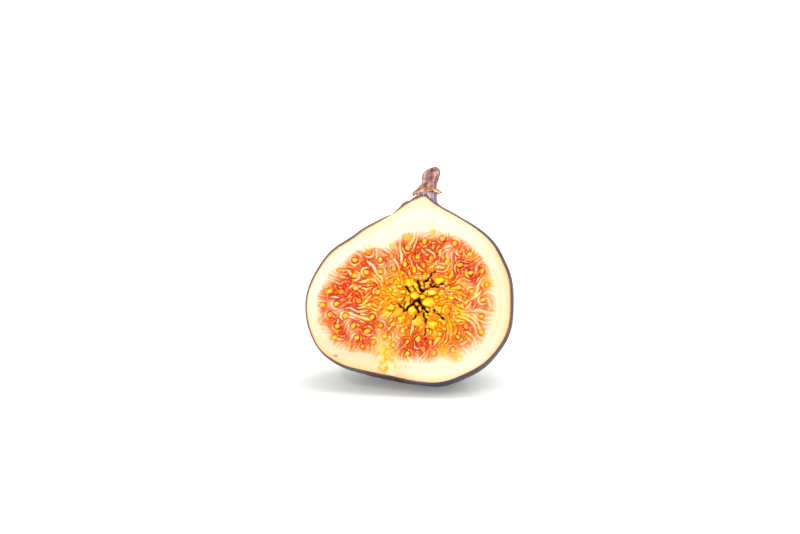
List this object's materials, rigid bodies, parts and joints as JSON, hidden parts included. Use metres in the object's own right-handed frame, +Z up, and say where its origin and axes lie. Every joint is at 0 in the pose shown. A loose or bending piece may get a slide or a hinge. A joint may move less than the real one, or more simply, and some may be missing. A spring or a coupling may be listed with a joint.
{
  "type": "halved fresh fig",
  "caption": "Ripe fig cut lengthwise: purple skin, cream flesh, red pulp set with seeds, golden florets in its middle, short stem with bracts. It stands on its broad base, cut face forward.",
  "frame": {"origin": "middle of the fruit's box at the surface that it stands on", "axes": "+Z up towards the stem, -Y towards the viewer of the cut face, +X to the right across the cut face"},
  "size_m": [0.051, 0.0354, 0.0531],
  "materials": {
    "skin": "dark purple fig skin with a soft bloom",
    "flesh": "moist ivory flesh",
    "pulp": "wet red pulp",
    "florets": "wet golden florets",
    "stem": "dry, finely wrinkled stem"
  },
  "bodies": {
    "root": {"skin": "skin", "flesh": "flesh", "pulp": "pulp", "florets": "florets", "stem": "stem"}
  },
  "joints": []
}
